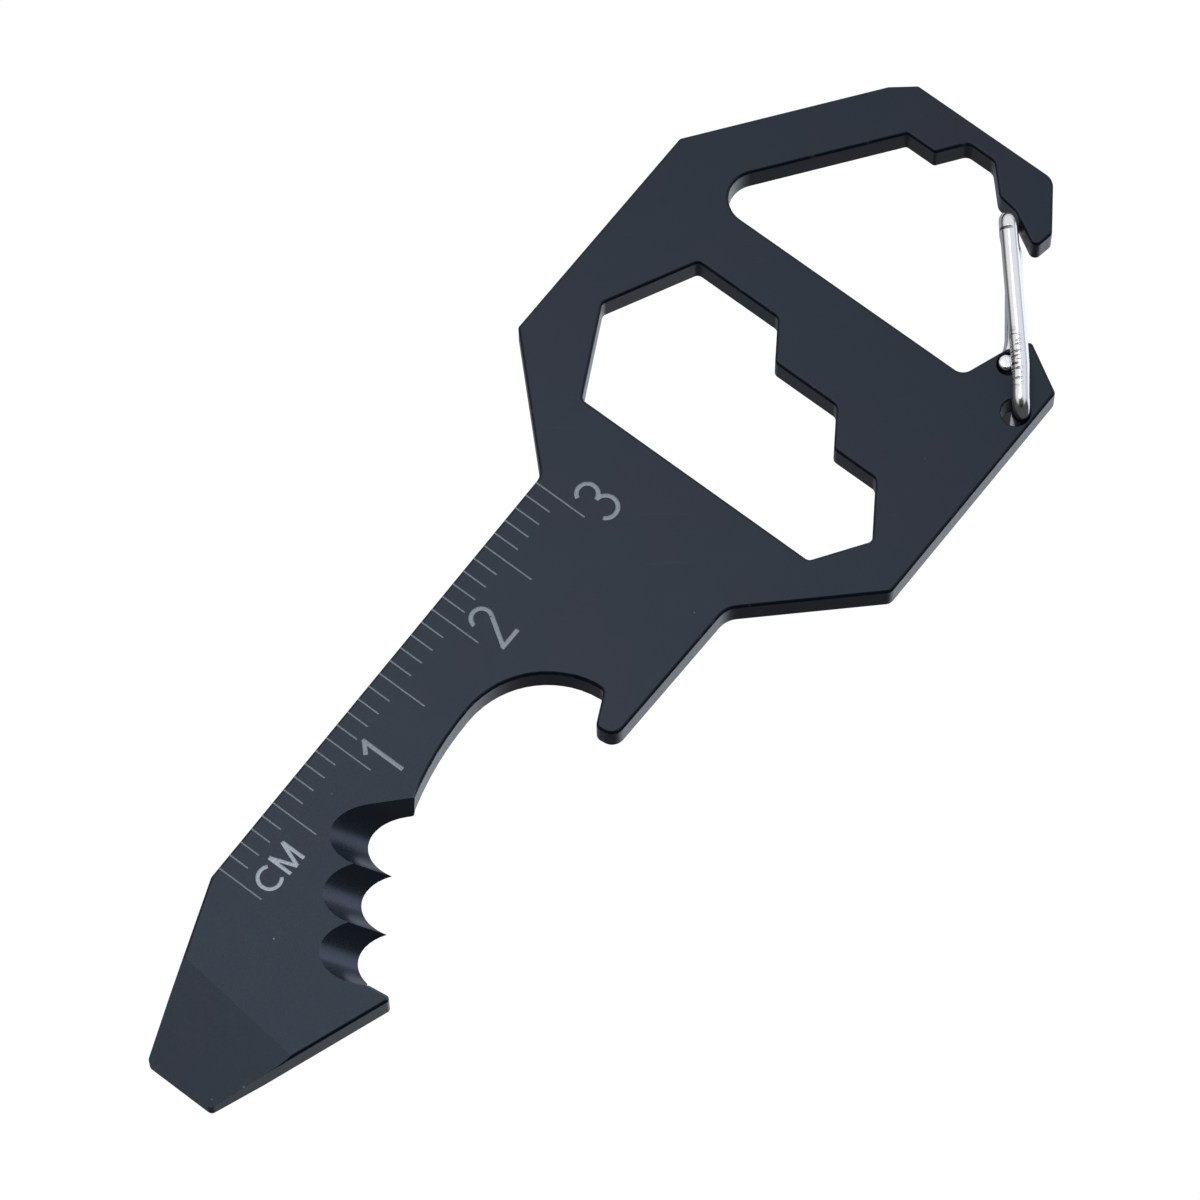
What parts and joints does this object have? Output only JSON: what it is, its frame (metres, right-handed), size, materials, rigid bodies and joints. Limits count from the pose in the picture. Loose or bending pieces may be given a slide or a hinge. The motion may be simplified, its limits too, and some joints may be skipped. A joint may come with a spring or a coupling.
{
  "type": "keychain bottle opener",
  "caption": "Flat key-shaped pocket opener: bottle hook, serrated edge, ruler, stepped wrench opening, screwdriver tip and a carabiner head closed by a sprung wire gate.",
  "frame": {"origin": "middle of the screwdriver tip's end edge, half-way through the plate", "axes": "+X along the key from the tip to the head, +Y towards the ruler's edge, +Z out of the printed face"},
  "size_m": [0.0758, 0.0276, 0.0042],
  "materials": {
    "coated_plate": "satin blue-black coating",
    "spring_wire": "polished"
  },
  "bodies": {
    "key": {"tool_plate": "coated_plate"},
    "gate": {"wire_gate": "spring_wire", "gate_spring_leg": "spring_wire"}
  },
  "joints": [
    {"name": "gate_swing", "type": "hinge", "parent": "key", "child": "gate", "pos_m": [0.06236, -0.01294, 0], "axis": [0, 0, 1], "range_deg": [0, 35], "stiffness_Nm_per_rad": 0.07, "springref_deg": -14.9, "deforming": ["gate_spring_leg"]}
  ]
}
